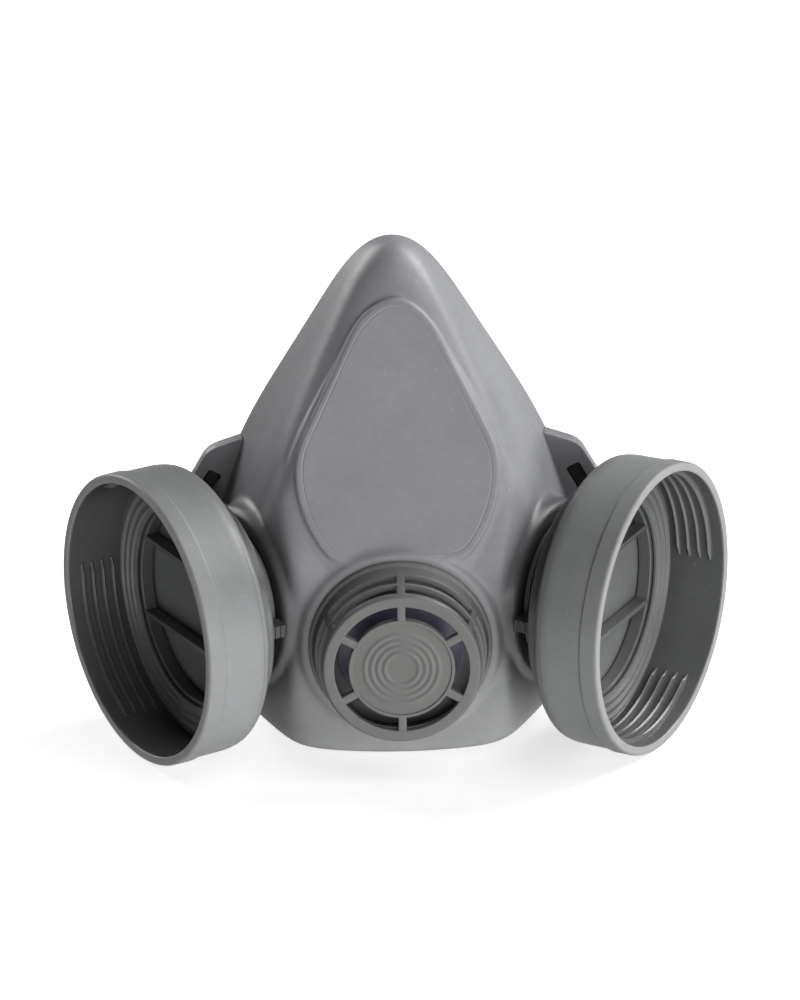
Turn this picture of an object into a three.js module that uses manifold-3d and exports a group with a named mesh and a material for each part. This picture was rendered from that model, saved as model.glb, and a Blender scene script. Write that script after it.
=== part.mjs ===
// Twin-filter half mask for painting: rubber facepiece, exhalation valve, two filter cups.
// Millimetres, +Z up as worn, front towards -Y, the wearer's face towards +Y.
// The origin is under the middle of the mask, on the surface that it stands on.
import * as THREE from 'three';
import { mergeVertices } from 'three/addons/utils/BufferGeometryUtils.js';
import Module from 'manifold-3d';

const wasm = await Module();
wasm.setup();

// ---------------------------------------------------------------- driving dimensions

const DEG = Math.PI / 180;
const FIT_GAP = 0.3; // clearance between pieces that rest on each other

// facepiece: a blend of flat faces seen from one inner point, open towards the wearer
const CORE = new THREE.Vector3(0, 20, 31); // inner point that the faces are measured from
const BLEND = 14; // higher makes the edges between the faces sharper
const WALL = 3; // rubber thickness
const PANEL_TILT = 24 * DEG; // the front panel leans back by this much
const PANEL_FOOT = new THREE.Vector3(0, -13.8, 53); // middle of the panel's lower edge
const PANEL_LIFT = 0.8; // how far the panel stands out of the rubber around it
const RIM_Y_TOP = 30; // where the shell ends and the seal lip starts, at the nose
const RIM_Y_LOW = 36.4; // the same, at the cheeks and the chin
const LIP_ROLL = 4; // radius of the roll from the shell into the lip
const LIP_REACH = 10; // how far the lip turns in towards the face
const LIP_THICK = 1.8;
const AROUND = 52; // steps around the valve axis
const CROWD = 0.3; // how much closer together the steps are at the nose than on average

// exhalation valve, on an axis along Y at this height
const VALVE_Z = 31;
const SEAT_OUT = 14.5; // distance of the facepiece's valve boss in front of Y = 0
const VALVE_BORE = 17;
const BOSS_RADIUS = 24;
const VALVE_POCKET = 20.9; // radius of the pocket behind the valve
const COVER_FRONT = 29.5; // distance of the cover's front face in front of Y = 0
const COVER_RIBS = 6;
const RIB_WIDTH = 2;

// filter cups: the rim centre, and the way that the cup opens, in the horizontal plane
const CUP_X = 64;
const CUP_Y = -9;
const CUP_Z = 36.3;
const CUP_TURN = 28.5 * DEG; // turned forwards from straight sideways
const CUP_RADIUS = 36.3;
const CUP_WALL_RADIUS = 33.9; // inside the wall
const CUP_FLOOR = -15.3; // floor, measured from the rim plane
const CUP_BACK = -18.6;
const GRILLE_RADIUS = 24.2;
const GRILLE_BAR_AT = 10;
const GRILLE_BAR = 1.3;
const CHAMBER_RADIUS = 26;
const CHAMBER_END = -22.8;
const THREAD_SEGMENTS = 3;
const THREAD_RIDGES = 4;
const THREAD_PITCH = 2.8;
const THREAD_TURN = 70 * DEG; // arc of each thread segment
const THREAD_AT = 27; // where the first segment is centred, in degrees from the cup's front side
const NECK_RADIUS = 15;
const NECK_BORE = 13;
const PORT_FACE = -29; // outer face of the rubber at the port
const PORT_BOSS_RADIUS = 22;
const PORT_POCKET = 18.9; // radius of the pocket behind the port

// strap lugs
const LUG_FRONT_Y = 31;
const LUG_THICK = 4;
const SLOT_LEAN = 29 * DEG; // the slot follows the edge of the facepiece
const SLOT_WIDTH = 3.6;
const SLOT_LENGTH = 16;
const SLOT_X = 47.4;
const SLOT_Z = 50.4;

// ---------------------------------------------------------------- colours

const rubber = { color: 0x8b8c8e, roughness: 0.6, metalness: 0 };
const coverPlastic = { color: 0x7f7f7c, roughness: 0.5, metalness: 0 };
const cupPlastic = { color: 0x8c8d8c, roughness: 0.45, metalness: 0 };
const valvePlastic = { color: 0x6f7070, roughness: 0.5, metalness: 0 };
const blueSilicone = { color: 0x3f4769, roughness: 0.4, metalness: 0 };
const greySilicone = { color: 0x9a9c9d, roughness: 0.5, metalness: 0 };
const blackPlastic = { color: 0x121212, roughness: 0.5, metalness: 0 };

// ---------------------------------------------------------------- geometry helpers

function signedVolume(geometry) {
  const p = geometry.attributes.position;
  const index = geometry.index.array;
  const a = new THREE.Vector3();
  const b = new THREE.Vector3();
  const c = new THREE.Vector3();
  let sum = 0;
  for (let i = 0; i < index.length; i += 3) {
    a.fromBufferAttribute(p, index[i]);
    b.fromBufferAttribute(p, index[i + 1]);
    c.fromBufferAttribute(p, index[i + 2]);
    sum += a.dot(b.cross(c)) / 6;
  }
  return sum;
}

// Positions only, shared vertices merged, no collapsed triangles, and faces that point out.
function clean(geometry) {
  geometry.deleteAttribute('normal');
  geometry.deleteAttribute('uv');
  const merged = mergeVertices(geometry, 1e-4);
  const kept = [];
  const index = merged.index.array;
  for (let i = 0; i < index.length; i += 3) {
    const [a, b, c] = [index[i], index[i + 1], index[i + 2]];
    if (a !== b && b !== c && c !== a) kept.push(a, b, c);
  }
  merged.setIndex(kept);
  if (signedVolume(merged) < 0) merged.setIndex(kept.reverse());
  return merged;
}

function toSolid(geometry) {
  const g = clean(geometry);
  const vertProperties = new Float32Array(g.attributes.position.array);
  const triVerts = new Uint32Array(g.index.array);
  return new wasm.Manifold(new wasm.Mesh({ numProp: 3, vertProperties, triVerts }));
}

function fromSolid(solid) {
  const mesh = solid.getMesh();
  const geometry = new THREE.BufferGeometry();
  geometry.setAttribute('position', new THREE.BufferAttribute(mesh.vertProperties, 3));
  geometry.setIndex(new THREE.BufferAttribute(mesh.triVerts, 1));
  return geometry;
}

function join(...geometries) {
  return fromSolid(geometries.map(toSolid).reduce((sum, next) => sum.add(next)));
}

function cut(geometry, ...tools) {
  return fromSolid(tools.map(toSolid).reduce((left, tool) => left.subtract(tool), toSolid(geometry)));
}

// A turned piece. The outline is a list of [radius, height] about the local Y axis.
function turned(outline, steps = 32) {
  return new THREE.LatheGeometry(outline.map(([r, y]) => new THREE.Vector2(r, y)), steps);
}

// A turned ring, whose outline closes on itself.
function turnedRing(outline, steps = 32) {
  return turned([...outline, outline[0]], steps);
}

function washer(inner, outer, low, high, steps = 32) {
  return turnedRing([[inner, low], [outer, low], [outer, high], [inner, high]], steps);
}

function rod(radius, low, high, steps = 16) {
  return turned([[0, low], [radius, low], [radius, high], [0, high]], steps);
}

function block(x, y, z, cx, cy, cz) {
  return new THREE.BoxGeometry(x, y, z).translate(cx, cy, cz);
}

// A skin over closed loops of points. The last loop joins the first, or both ends are capped.
function loft(loops, wrap) {
  const points = [];
  const index = [];
  const count = loops[0].length;
  const at = (i, j) => (i % loops.length) * count + (j % count);
  loops.forEach((loop) => loop.forEach((p) => points.push(p.x, p.y, p.z)));
  const bands = wrap ? loops.length : loops.length - 1;
  for (let i = 0; i < bands; i++) {
    for (let j = 0; j < count; j++) {
      index.push(at(i, j), at(i + 1, j), at(i + 1, j + 1));
      index.push(at(i, j), at(i + 1, j + 1), at(i, j + 1));
    }
  }
  if (!wrap) {
    for (let j = 1; j < count - 1; j++) {
      index.push(at(0, 0), at(0, j), at(0, j + 1));
      index.push(at(loops.length - 1, 0), at(loops.length - 1, j + 1), at(loops.length - 1, j));
    }
  }
  const geometry = new THREE.BufferGeometry();
  geometry.setAttribute('position', new THREE.Float32BufferAttribute(points, 3));
  geometry.setIndex(index);
  return geometry;
}

const root = new THREE.Group();

function add(parent, name, geometry, look) {
  const mesh = new THREE.Mesh(clean(geometry), new THREE.MeshStandardMaterial(look));
  mesh.name = name;
  parent.add(mesh);
}

// ---------------------------------------------------------------- facepiece surface

// Each face is a unit direction and its distance from CORE.
function face(x, y, z, distance) {
  const normal = new THREE.Vector3(x, y, z).normalize();
  return { normal, distance };
}

const panelNormal = new THREE.Vector3(0, -Math.cos(PANEL_TILT), Math.sin(PANEL_TILT));
const panelUp = new THREE.Vector3(0, Math.sin(PANEL_TILT), Math.cos(PANEL_TILT));
const panelDistance = panelNormal.dot(PANEL_FOOT.clone().sub(CORE));

const faces = [
  { normal: panelNormal, distance: panelDistance - PANEL_LIFT },
  face(0, -1, 0, 33.5), // around the valve
  { normal: panelUp, distance: 86.6 }, // over the nose
];
for (const side of [-1, 1]) {
  faces.push(face(side * 0.869, -0.118, 0.48, 48.8)); // flank beside the nose
  faces.push(face(side * 0.97, -0.1, 0.2, 44.5)); // cheek
  faces.push(face(side * Math.cos(CUP_TURN), -Math.sin(CUP_TURN), 0, 41.2)); // filter port
  faces.push(face(side * 0.12, 0.02, -1, 31.85)); // chin
  faces.push(face(side * 0.7, 0.25, -0.66, 47.4)); // jaw
}

function blendedFaces(direction, inset) {
  let sum = 0;
  for (const { normal, distance } of faces) {
    const toward = normal.dot(direction) / (distance - inset);
    if (toward > 0) sum += toward ** BLEND;
  }
  return sum ** (-1 / BLEND);
}

function cupAxis(side) {
  return new THREE.Vector3(side * Math.cos(CUP_TURN), -Math.sin(CUP_TURN), 0);
}

// A point of the shell. Theta turns away from -Y, and phi goes around the valve axis from +X.
function shellPoint(theta, phi, inset) {
  const direction = new THREE.Vector3(
    Math.sin(theta) * Math.cos(phi),
    -Math.cos(theta),
    Math.sin(theta) * Math.sin(phi),
  );
  return direction.multiplyScalar(blendedFaces(direction, inset)).add(CORE);
}

function rimY(z) {
  return THREE.MathUtils.lerp(RIM_Y_LOW, RIM_Y_TOP, THREE.MathUtils.smoothstep(z, 55, 105));
}

// The angle at which the shell reaches the rim.
function rimAngle(phi, inset) {
  let low = 60 * DEG;
  let high = 140 * DEG;
  for (let i = 0; i < 40; i++) {
    const middle = (low + high) / 2;
    const p = shellPoint(middle, phi, inset);
    if (p.y < rimY(p.z)) low = middle;
    else high = middle;
  }
  return low;
}

// Shell loops from the valve bore to the rim, closer together around the boss.
function shellLoops(inset, steps) {
  const loops = steps.map(() => []);
  const start = Math.atan(VALVE_BORE / (SEAT_OUT + CORE.y - inset));
  for (let j = 0; j < AROUND; j++) {
    const turn = (j / AROUND) * 2 * Math.PI;
    const phi = turn + CROWD * Math.cos(turn);
    const end = rimAngle(phi, inset);
    steps.forEach((s, i) => loops[i].push(shellPoint(start + (end - start) * s, phi, inset)));
  }
  return loops;
}

// The lip: it rolls in from the end of the shell and reaches towards the face.
// Each entry is [how far back, how far in] from the outer edge of the shell.
function lipOutline() {
  const outline = [];
  for (const turn of [30, 60, 90]) {
    const a = turn * DEG;
    outline.push([LIP_ROLL * Math.sin(a), LIP_ROLL * (1 - Math.cos(a))]);
  }
  outline.push([LIP_ROLL + 0.3, LIP_REACH - 0.6]);
  outline.push([LIP_ROLL - 0.4, LIP_REACH]);
  outline.push([LIP_ROLL - LIP_THICK, LIP_REACH - 0.6]);
  outline.push([LIP_ROLL - LIP_THICK, WALL + 2]);
  return outline;
}

function lipLoops(rimLoop) {
  return lipOutline().map(([back, inward]) => rimLoop.map((p) => {
    const out = new THREE.Vector3(p.x - CORE.x, 0, p.z - CORE.z).normalize();
    return p.clone().addScaledVector(out, -inward).add(new THREE.Vector3(0, back, 0));
  }));
}

function shellGeometry() {
  const outer = shellLoops(0, [0, 0.1, 0.16, 0.25, 0.36, 0.48, 0.6, 0.72, 0.84, 0.94, 1]);
  const inner = shellLoops(WALL, [1, 0.85, 0.7, 0.5, 0.33, 0.18, 0.08, 0]);
  return loft([...outer, ...lipLoops(outer[outer.length - 1]), ...inner], true);
}

// ---------------------------------------------------------------- strap lugs

function lugGeometry(side) {
  const outline = new THREE.Shape([
    [36, 66.5], [43.8, 63.8], [45.9, 62.3], [53.6, 48.4], [55.4, 43], [53.6, 39], [43, 36], [39, 54],
  ].map(([x, z]) => new THREE.Vector2(side * x, z)));
  const slot = new THREE.Path([[-1, -1], [1, -1], [1, 1], [-1, 1]].map(([u, v]) => {
    const across = (u * SLOT_WIDTH) / 2;
    const along = (v * SLOT_LENGTH) / 2;
    const x = SLOT_X + across * Math.cos(SLOT_LEAN) - along * Math.sin(SLOT_LEAN);
    const z = SLOT_Z + across * Math.sin(SLOT_LEAN) + along * Math.cos(SLOT_LEAN);
    return new THREE.Vector2(side * x, z);
  }));
  outline.holes.push(slot);
  const plate = new THREE.ExtrudeGeometry(outline, { depth: LUG_THICK, bevelEnabled: false });
  return plate.rotateX(90 * DEG).translate(0, LUG_FRONT_Y + LUG_THICK, 0);
}

// A black slide that fills the slot and spreads behind the lug.
function strapSlideGeometry() {
  const tongue = block(SLOT_WIDTH - 2 * FIT_GAP, LUG_THICK + 1, SLOT_LENGTH - 2 * FIT_GAP, 0, 0, 0);
  const plate = block(SLOT_WIDTH + 2, 1.2, SLOT_LENGTH + 1, 0, LUG_THICK / 2 + FIT_GAP + 0.6, 0);
  return join(tongue.translate(0, 0.6, 0), plate);
}

// ---------------------------------------------------------------- frames of the valve and the cups

// Local +Y points out of the valve, and 0 is at Y = 0.
const valve = new THREE.Group();
valve.position.set(0, 0, VALVE_Z);
valve.rotation.x = Math.PI;
valve.updateMatrix();
root.add(valve);

// Local +Y points out of the cup, local Z is up, and 0 is at the rim. The left cup is the same
// moulding turned half a turn about its own axis.
function cupFrame(side) {
  const frame = new THREE.Group();
  const out = cupAxis(side);
  const up = new THREE.Vector3(0, 0, side);
  const across = new THREE.Vector3().crossVectors(out, up);
  frame.quaternion.setFromRotationMatrix(new THREE.Matrix4().makeBasis(across, out, up));
  frame.position.set(side * CUP_X, CUP_Y, CUP_Z);
  frame.updateMatrix();
  root.add(frame);
  return frame;
}

const cups = { left: cupFrame(-1), right: cupFrame(1) };

// ---------------------------------------------------------------- exhalation valve

function valveSeatGeometry() {
  const barrel = turnedRing([
    [13.8, 8.5], [16.7, 8.5], [16.7, 15.9], [20.2, 15.9],
    [20.2, 17], [15.6, 17], [15.2, 17.6], [13.8, 17.6],
  ]);
  const hub = washer(2, 4, 12.5, 15, 20);
  const spokes = [0, 1, 2, 3].map((i) => block(11, 2.5, 1.8, 9, 13.75, 0).rotateY((i * 90 + 45) * DEG));
  return join(barrel, hub, ...spokes);
}

function diaphragmGeometry() {
  return turned([
    [0, 8.6], [1.2, 8.6], [2.6, 9.8], [2.6, 10.7], [1.6, 10.9], [1.6, 15.6], [4, 17.9], [15.4, 17.9],
    [15.4, 18.6], [8, 19.2], [0, 19.2],
  ], 28);
}

function coverGeometry() {
  const collar = turnedRing([
    [20.5, 14.8], [22.3, 14.8], [22.3, 16.2], [21.4, 16.6], [20.9, 20], [19.6, 20], [20.5, 17.4],
  ]);
  const band = turnedRing([[19.1, 23.7], [20.4, 23.7], [20.3, 24.5], [19, 24.5]]);
  const frontRing = turnedRing([
    [16.4, 27.6], [19.5, 27.6], [19.4, 28.9], [18.9, COVER_FRONT], [16.4, COVER_FRONT],
  ]);
  const disc = turned([
    [0, 27.6], [12.9, 27.6], [12.9, COVER_FRONT], [12.1, COVER_FRONT], [12.1, 29.1], [0, 29.1],
  ]);
  const sideRib = [[19.7, 19], [21, 19], [19.5, 28.5], [18.2, 28.5]];
  const ribShape = new THREE.Shape(sideRib.map(([x, y]) => new THREE.Vector2(x, y)));
  const ribs = [];
  for (let i = 0; i < COVER_RIBS; i++) {
    const turn = (i * 360 / COVER_RIBS + 90) * DEG;
    const spoke = block(4.6, COVER_FRONT - 27.7, RIB_WIDTH, 14.7, (COVER_FRONT + 27.7) / 2 - 0.05, 0);
    const bar = new THREE.ExtrudeGeometry(ribShape, { depth: RIB_WIDTH, bevelEnabled: false });
    ribs.push(spoke.rotateY(turn), bar.translate(0, 0, -RIB_WIDTH / 2).rotateY(turn));
  }
  return join(collar, band, frontRing, disc, ...ribs);
}

function addExhalationValve() {
  add(valve, 'exhalation_seat', valveSeatGeometry(), valvePlastic);
  add(valve, 'exhalation_diaphragm', diaphragmGeometry(), blueSilicone);
  add(valve, 'exhalation_cover', coverGeometry(), coverPlastic);
  add(valve, 'exhalation_seal', washer(17.3, 20.2, SEAT_OUT + FIT_GAP, 15.6), greySilicone);
  add(valve, 'exhalation_retaining_ring', washer(17, 20.5, 8.6, 11.2), valvePlastic);
}

// ---------------------------------------------------------------- filter cups

function threadRidge(turn, height) {
  const steps = 6;
  const loops = [];
  for (let i = 0; i <= steps; i++) {
    const a = turn + (i / steps - 0.5) * THREAD_TURN;
    const grow = Math.min(1, Math.min(i, steps - i) / 1.2 + 0.05);
    const section = [[0.4, -0.75], [-1.1 * grow, -0.3], [-1.1 * grow, 0.3], [0.4, 0.75]];
    loops.push(section.map(([out, along]) => {
      const r = CUP_WALL_RADIUS + out;
      return new THREE.Vector3(r * Math.cos(a), height + along, r * Math.sin(a));
    }));
  }
  return loft(loops, false);
}

function cupGeometry() {
  const body = turnedRing([
    [34.2, 0], [35.9, 0], [CUP_RADIUS, -0.5], [CUP_RADIUS, -4.6], [35.9, -4.9], [35.7, -14.6],
    [35.2, -16.8], [34, -18.1], [32, CUP_BACK], [28, CUP_BACK], [28, CHAMBER_END], [CHAMBER_RADIUS, CHAMBER_END],
    [CHAMBER_RADIUS, CUP_BACK], [GRILLE_RADIUS, CUP_BACK], [GRILLE_RADIUS, CUP_FLOOR], [33.4, CUP_FLOOR],
    [CUP_WALL_RADIUS, -14.6], [CUP_WALL_RADIUS, -0.5],
  ], 40);
  const barLength = 2 * Math.sqrt((GRILLE_RADIUS + 0.6) ** 2 - GRILLE_BAR_AT ** 2);
  const barDepth = CUP_FLOOR - CUP_BACK;
  const bars = [-1, 1].map((s) => block(
    barLength, barDepth, GRILLE_BAR, 0, (CUP_FLOOR + CUP_BACK) / 2, s * GRILLE_BAR_AT,
  ));
  const threads = [];
  for (let segment = 0; segment < THREAD_SEGMENTS; segment++) {
    for (let ridge = 0; ridge < THREAD_RIDGES; ridge++) {
      threads.push(threadRidge((THREAD_AT + (360 / THREAD_SEGMENTS) * segment) * DEG, -4 - ridge * THREAD_PITCH));
    }
  }
  return join(body, ...bars, ...threads);
}

function portGeometry() {
  const neck = turnedRing([
    [NECK_BORE, -21.3], [25.7, -21.3], [25.7, CHAMBER_END], [NECK_RADIUS, CHAMBER_END],
    [NECK_RADIUS, -25.5], [18.3, -25.5], [18.3, -27.2], [NECK_RADIUS, -27.2], [NECK_RADIUS, -36],
    [NECK_BORE, -36],
  ]);
  const spokes = [0, 1, 2].map((i) => block(12, 1.5, 1.6, 7.5, -22.05, 0).rotateY((i * 120 + 90) * DEG));
  const pin = turned([[0, -22.8], [3.2, -22.8], [3.2, -21.3], [1.8, -21.3], [1.8, -19], [0, -19]], 20);
  const key = block(5, 6.1, 3, 22, -25.5, 0);
  return join(neck, ...spokes, pin, key);
}

function gasketGeometry() {
  const outline = [[25.2, CUP_FLOOR + FIT_GAP], [32.6, CUP_FLOOR + FIT_GAP], [32.6, -14.2]];
  for (const r of [31.2, 28.9, 26.6]) outline.push([r + 0.7, -14.2], [r, -13.5], [r - 0.7, -14.2]);
  outline.push([25.2, -14.2]);
  return turnedRing(outline, 36);
}

function addFilterCup(side) {
  const frame = cups[side];
  add(frame, `${side}_filter_cup`, cupGeometry(), cupPlastic);
  add(frame, `${side}_filter_gasket`, gasketGeometry(), greySilicone);
  add(frame, `${side}_inhalation_flap`, washer(2.1, 25.2, -19.7, -18.9), greySilicone);
  add(frame, `${side}_inhalation_port`, portGeometry(), valvePlastic);
  add(frame, `${side}_port_seal`, washer(NECK_RADIUS + FIT_GAP, 18.3, -28.7, -27.5, 32), greySilicone);
  add(frame, `${side}_port_ring`, washer(NECK_RADIUS + FIT_GAP, 18.3, -35.4, -32.6, 32), valvePlastic);
}

// ---------------------------------------------------------------- assembly

// A round boss with a bore through it and a pocket behind it for its retaining ring.
function addBoss(body, frame, end, boss, bore, pocket) {
  const pad = rod(boss, end - 5.5, end, 32).applyMatrix4(frame.matrix);
  const hole = rod(bore, end - 9, end + 4, 28).applyMatrix4(frame.matrix);
  const recess = rod(pocket, end - 9, end - WALL, 32).applyMatrix4(frame.matrix);
  return cut(join(body, pad), hole, recess);
}

function facepieceGeometry() {
  let body = join(shellGeometry(), lugGeometry(-1), lugGeometry(1));
  body = addBoss(body, valve, SEAT_OUT, BOSS_RADIUS, VALVE_BORE, VALVE_POCKET);
  for (const frame of Object.values(cups)) {
    body = addBoss(body, frame, PORT_FACE, PORT_BOSS_RADIUS, NECK_RADIUS + FIT_GAP, PORT_POCKET);
  }
  return body;
}

function addStrapSlide(side, name) {
  const frame = new THREE.Group();
  frame.position.set(side * SLOT_X, LUG_FRONT_Y + LUG_THICK / 2, SLOT_Z);
  frame.rotation.y = -side * SLOT_LEAN;
  root.add(frame);
  add(frame, name, strapSlideGeometry(), blackPlastic);
}

add(root, 'facepiece', facepieceGeometry(), rubber);
addExhalationValve();
addFilterCup('left');
addFilterCup('right');
addStrapSlide(-1, 'left_strap_slide');
addStrapSlide(1, 'right_strap_slide');

export default root;
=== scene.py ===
"""The looks of a painter's twin-filter half mask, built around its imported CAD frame.

Outlines are in millimetres, and become metres when a mesh is made. +Z is up, -Y is the
front of the mask, and the wearer's face is towards +Y. The valve and the filter cups have
frames of their own, whose +Y axis points out of the mask.
"""

import math

import bmesh
import bpy
import numpy as np
from mathutils import Euler, Matrix, Vector


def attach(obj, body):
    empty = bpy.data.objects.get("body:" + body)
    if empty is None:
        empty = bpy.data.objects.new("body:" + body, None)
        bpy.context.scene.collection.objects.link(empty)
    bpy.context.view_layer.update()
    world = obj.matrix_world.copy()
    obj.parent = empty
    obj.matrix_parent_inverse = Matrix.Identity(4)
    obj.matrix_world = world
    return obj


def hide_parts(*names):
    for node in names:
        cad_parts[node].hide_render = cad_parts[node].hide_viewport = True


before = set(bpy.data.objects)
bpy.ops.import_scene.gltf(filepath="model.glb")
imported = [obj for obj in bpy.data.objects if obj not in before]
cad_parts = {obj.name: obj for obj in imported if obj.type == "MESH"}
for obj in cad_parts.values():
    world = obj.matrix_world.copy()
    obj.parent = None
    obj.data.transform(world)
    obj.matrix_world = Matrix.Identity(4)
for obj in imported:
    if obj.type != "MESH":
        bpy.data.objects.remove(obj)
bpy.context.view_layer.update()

# ---------------------------------------------------------------- sizes

MM = 0.001
FIT_GAP = 0.3  # clearance between pieces that rest on each other

# facepiece: a blend of flat faces seen from one inner point
CORE = np.array([0.0, 20.0, 31.0])
BLEND = 14
WALL = 3.0
PANEL_TILT = math.radians(24)
PANEL_FOOT = np.array([0.0, -13.8, 53.0])
PANEL_LIFT = 0.8
RIM_Y_TOP = 30.0
RIM_Y_LOW = 36.4
RIM_RISE = (55, 105)  # heights between which the rim comes forwards
LIP_ROLL = 4.0
LIP_REACH = 10.0
LIP_THICK = 1.8

# exhalation valve
VALVE_Z = 31.0
SEAT_OUT = 14.5
VALVE_BORE = 17.0
BOSS_RADIUS = 24.0
COVER_FRONT = 29.5
COVER_RIBS = 6
RIB_WIDTH = 2.0
DISC_FACE = 29.1  # the disc in the cover's middle is sunk inside its rim
DISC_RINGS = 4
DISC_RING = 0.2  # height of the rings on it
WAVE_STEPS = 8  # points over one ring

# filter cups
CUP_CENTRE = (64.0, -9.0, 36.3)
CUP_TURN = math.radians(28.5)
CUP_RADIUS = 36.3
CUP_WALL_RADIUS = 33.9
RIM_DEPTH = 0.35  # how far down a rim is worn
CUP_FLOOR = -15.3
CUP_BACK = -18.6
GRILLE_RADIUS = 24.2
GRILLE_BAR_AT = 10.0
GRILLE_BAR = 1.3
CHAMBER_RADIUS = 26.0
CHAMBER_END = -22.8
THREAD_SEGMENTS = 3
THREAD_RIDGES = 4
THREAD_PITCH = 2.8
THREAD_TURN = math.radians(70)
THREAD_AT = math.radians(27)
THREAD_TAPER = 0.07  # share of a ridge's length over which each end rises
THREAD_END = 0.3  # a ridge's height at its ends, as a share of its full height
THREAD_STEPS = 48
THREAD_TOP = -4.0  # where the ridge nearest the rim is
NECK_RADIUS = 15.0
NECK_BORE = 13.0
PORT_FACE = -29.0
PORT_BOSS_RADIUS = 22.0

# strap lugs
LUG_FRONT_Y = 31.0
LUG_THICK = 4.0
SLOT_LEAN = math.radians(29)
SLOT_WIDTH = 3.6
SLOT_LENGTH = 16.0
SLOT_X = 47.4
SLOT_Z = 50.4

# ---------------------------------------------------------------- frames


def basis(x, y, z, origin):
    """A 4 x 4 array that takes local millimetres to the mask's millimetres."""
    out = np.eye(4)
    out[:3, 0] = x
    out[:3, 1] = y
    out[:3, 2] = z
    out[:3, 3] = origin
    return out


def cup_axis(side):
    return np.array([side * math.cos(CUP_TURN), -math.sin(CUP_TURN), 0.0])


def cup_frame(side):
    """The left cup is the same moulding as the right one, turned half a turn."""
    out = cup_axis(side)
    up = np.array([0.0, 0.0, side])
    centre = np.array(CUP_CENTRE) * np.array([side, 1, 1])
    return basis(np.cross(out, up), out, up, centre)


def slot_frame(side):
    lean = Matrix.Rotation(-side * SLOT_LEAN, 3, "Y")
    x, y, z = (np.array(lean.col[i]) for i in range(3))
    return basis(x, y, z, (side * SLOT_X, LUG_FRONT_Y + LUG_THICK / 2, SLOT_Z))


PLAIN_FRAME = np.eye(4)
VALVE_FRAME = basis((1, 0, 0), (0, -1, 0), (0, 0, -1), (0, 0, VALVE_Z))
SIDES = {"left": -1, "right": 1}

# ---------------------------------------------------------------- meshes

TURN_STEPS = 160  # points round a turned piece
FINE_STEPS = 256  # and round the cups and their gaskets
FLAP_STEPS = 200
HOLE_STEPS = 96
CORNER_STEPS = 3
CORNER_SHARE = 0.45  # a corner takes at most this share of the side next to it
CORNER_SUPPORT = 0.3  # how far from a rounded corner its support points are, at most
SUPPORT_SHARE = 0.25  # and at most this share of what is left of the side
ON_AXIS = 1e-6


class Shell:
    """A closed skin: points in millimetres, and faces that index them."""

    def __init__(self, points, faces):
        self.points = np.asarray(points, float).reshape(-1, 3)
        self.faces = faces

    def placed(self, place):
        """The same skin, moved from a frame's own millimetres to the mask's."""
        points = self.points @ place[:3, :3].T + place[:3, 3]
        return Shell(points, self.faces)

    def turned_about_axis(self, angle):
        """The same skin, turned about its local Y axis."""
        c, s = math.cos(angle), math.sin(angle)
        turn = np.array([[c, 0, s], [0, 1, 0], [-s, 0, c]])
        return Shell(self.points @ turn.T, self.faces)


def band(first, second, count):
    """Quads between two closed loops of points that start at these indices."""
    return [
        (first + j, first + (j + 1) % count, second + (j + 1) % count, second + j)
        for j in range(count)
    ]


def loft(loops, wrap=False):
    """A skin over closed loops of points. It wraps round, or both ends are capped."""
    count = len(loops[0])
    points = np.concatenate([np.asarray(loop, float) for loop in loops])
    faces = []
    for i in range(len(loops) - 1):
        faces += band(i * count, (i + 1) * count, count)
    last = (len(loops) - 1) * count
    if wrap:
        faces += band(last, 0, count)
    else:
        faces.append(tuple(range(count - 1, -1, -1)))
        faces.append(tuple(range(last, last + count)))
    return Shell(points, faces)


def rounded(outline, radius, closed=True):
    """An outline whose corners become small arcs, with a support point on each side of them.

    A corner given as (x, y, radius) has a radius of its own. An open outline keeps its ends.
    """
    corners = [(*corner, radius)[:3] for corner in outline]
    points = []
    for i, (x, y, own) in enumerate(corners):
        here = np.array([x, y])
        if not closed and i in (0, len(corners) - 1):
            points.append(here)
            continue
        before = np.array(corners[i - 1][:2]) - here
        after = np.array(corners[(i + 1) % len(corners)][:2]) - here
        room_before, room_after = np.linalg.norm(before), np.linalg.norm(after)
        before, after = before / room_before, after / room_after
        reach = min(own, CORNER_SHARE * room_before, CORNER_SHARE * room_after)
        start, stop = here + before * reach, here + after * reach
        support = min(CORNER_SUPPORT, SUPPORT_SHARE * (room_before - reach))
        points.append(start + before * support)
        for k in range(CORNER_STEPS + 1):
            t = k / CORNER_STEPS
            points.append((1 - t) ** 2 * start + 2 * t * (1 - t) * here + t * t * stop)
        support = min(CORNER_SUPPORT, SUPPORT_SHARE * (room_after - reach))
        points.append(stop + after * support)
    return points


def turned(outline, steps=TURN_STEPS):
    """An outline of [radius, height] points about the local Y axis. Points on the axis merge."""
    rows = [(max(r, 0.0), y) for r, y in outline]
    angles = np.arange(steps) / steps * 2 * math.pi
    points = []
    starts = []
    for r, y in rows:
        tip = r < ON_AXIS
        starts.append((len(points), tip))
        if tip:
            points.append((0.0, y, 0.0))
        else:
            points += [(r * math.cos(a), y, r * math.sin(a)) for a in angles]
    faces = []
    for (a, a_tip), (b, b_tip) in zip(starts, starts[1:] + starts[:1]):
        if a_tip and b_tip:
            continue
        if a_tip:
            faces += [(a, b + (j + 1) % steps, b + j) for j in range(steps)]
        elif b_tip:
            faces += [(a + j, a + (j + 1) % steps, b) for j in range(steps)]
        else:
            faces += band(a, b, steps)
    return Shell(points, faces)


def ring(outline, radius=0.25, steps=TURN_STEPS):
    """A turned ring with rounded corners."""
    return turned(rounded(outline, radius), steps)


def washer(inner, outer, low, high, radius=0.2, steps=TURN_STEPS):
    return ring([(inner, low), (outer, low), (outer, high), (inner, high)], radius, steps)


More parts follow.
